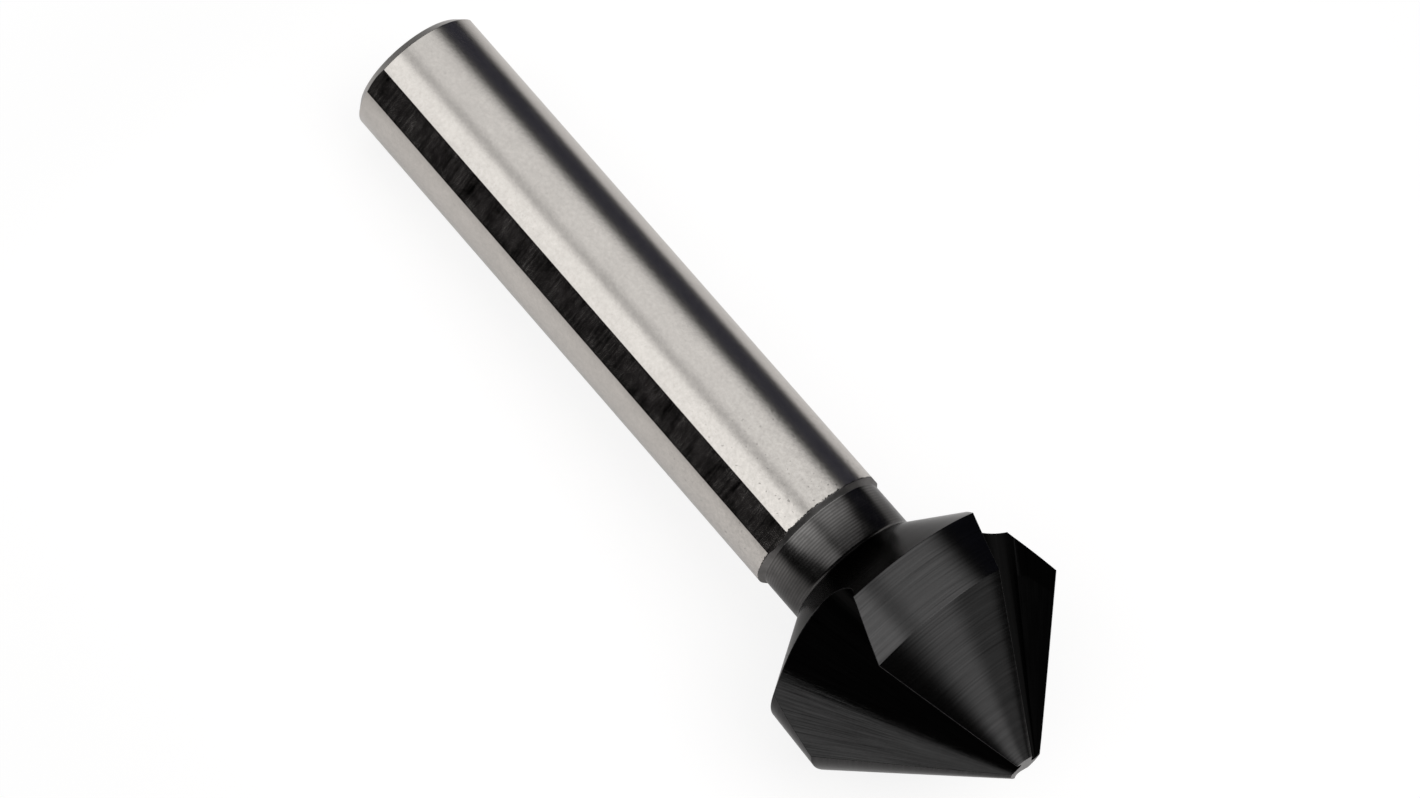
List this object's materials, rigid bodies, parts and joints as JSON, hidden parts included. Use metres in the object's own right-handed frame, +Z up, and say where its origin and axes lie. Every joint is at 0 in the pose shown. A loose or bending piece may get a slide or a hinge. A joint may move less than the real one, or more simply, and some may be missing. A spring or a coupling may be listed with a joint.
{
  "type": "countersink bit",
  "caption": "Countersink bit with a fluted conical head, a short neck and a straight round shank with narrow flats.",
  "frame": {"origin": "centre of the bounding box's base, on the surface that the tool lies on", "axes": "+X along the tool from the shank's end towards the point, +Z up from the surface that the tool lies on"},
  "size_m": [0.0632, 0.0202, 0.0194],
  "materials": {
    "tool_steel": "ground bright on the shank, near-black hard coating on the neck and head"
  },
  "bodies": {
    "root": {"countersink_bit": "tool_steel"}
  },
  "joints": []
}
